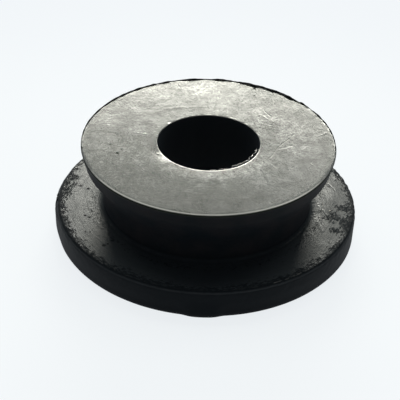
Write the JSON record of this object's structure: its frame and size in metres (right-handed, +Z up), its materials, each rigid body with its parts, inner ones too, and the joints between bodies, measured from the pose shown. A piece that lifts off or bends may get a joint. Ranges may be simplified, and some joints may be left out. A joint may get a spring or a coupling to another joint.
{
  "type": "rubber grommet",
  "caption": "Round moulded rubber grommet with a plain through bore, a wide flat foot flange, a waisted groove and a thinner flared top lip.",
  "frame": {"origin": "centre of the bore at the flat underside, where the grommet stands", "axes": "+Z up along the bore, from the wide foot flange to the smaller lip; the solid is one revolve, so X and Y are free"},
  "size_m": [0.03, 0.03, 0.01],
  "materials": {
    "rubber": "satin"
  },
  "bodies": {
    "root": {"grommet": "rubber"}
  },
  "joints": []
}
